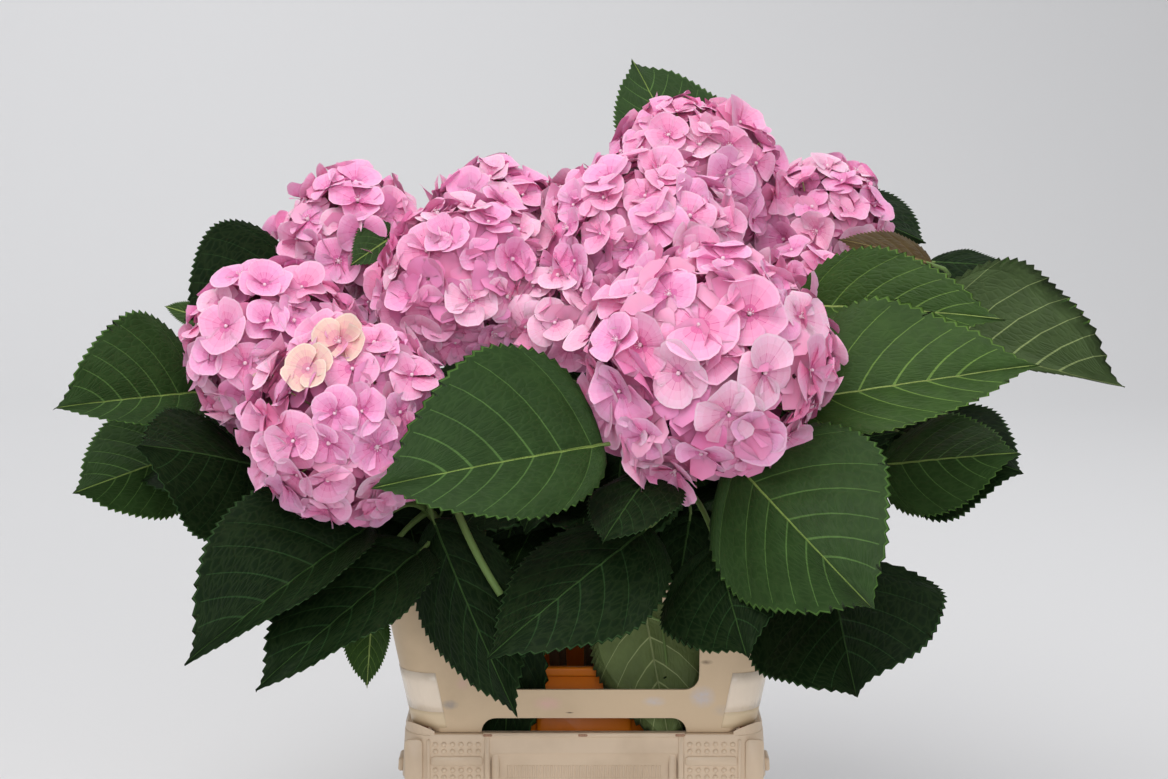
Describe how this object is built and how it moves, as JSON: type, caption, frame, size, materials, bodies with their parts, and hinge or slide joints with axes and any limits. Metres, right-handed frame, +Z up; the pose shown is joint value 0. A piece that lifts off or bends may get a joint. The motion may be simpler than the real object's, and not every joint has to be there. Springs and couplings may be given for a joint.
{
  "type": "cut hydrangea stems in a flower tub",
  "caption": "Cut mophead hydrangeas with big serrated leaves, standing in a bucket inside a moulded crate with a tapered, windowed collar.",
  "frame": {"origin": "centre of the crate's underside, on the surface that the tub stands on", "axes": "+Z up, +X along the tub's short side, -Y towards the viewer, out of the short side with the label fields"},
  "size_m": [0.8863, 0.7641, 0.7721],
  "materials": {
    "crate": "satin cream injection-moulded plastic, scuffed",
    "collar": "satin cream sheet-like moulded plastic, scuffed, with worn clear film at its corners",
    "bucket": "satin orange-brown moulded plastic",
    "cane": "green young cane with ridges, browner below",
    "sepals": "soft matte petal-like sepals, pink with paler edges",
    "foliage": "dark green quilted leaves with a soft sheen and pale veins"
  },
  "bodies": {
    "root": {"crate": "crate", "collar": "collar", "bucket": "bucket", "cane_front_right": "cane", "cane_front_left": "cane", "cane_right": "cane", "cane_outer_left": "cane", "cane_back_right": "cane", "cane_top_left": "cane", "cane_middle_left": "cane", "cane_middle": "cane", "cane_top": "cane", "cane_back_left": "cane", "cane_rear_left": "cane", "cane_rear_right": "cane", "cane_rear_middle": "cane", "head_front_right": "sepals", "head_front_left": "sepals", "head_right": "sepals", "head_outer_left": "sepals", "head_back_right": "sepals", "head_top_left": "sepals", "head_middle_left": "sepals", "head_middle": "sepals", "head_top": "sepals", "head_back_left": "sepals", "head_rear_left": "sepals", "head_rear_right": "sepals", "head_rear_middle": "sepals", "leaves_front_right": "foliage", "leaves_front_left": "foliage", "leaves_right": "foliage", "leaves_outer_left": "foliage", "leaves_back_right": "foliage", "leaves_top_left": "foliage", "leaves_middle_left": "foliage", "leaves_middle": "foliage", "leaves_top": "foliage", "leaves_back_left": "foliage", "leaves_rear_left": "foliage", "leaves_rear_right": "foliage", "leaves_rear_middle": "foliage"}
  },
  "joints": []
}
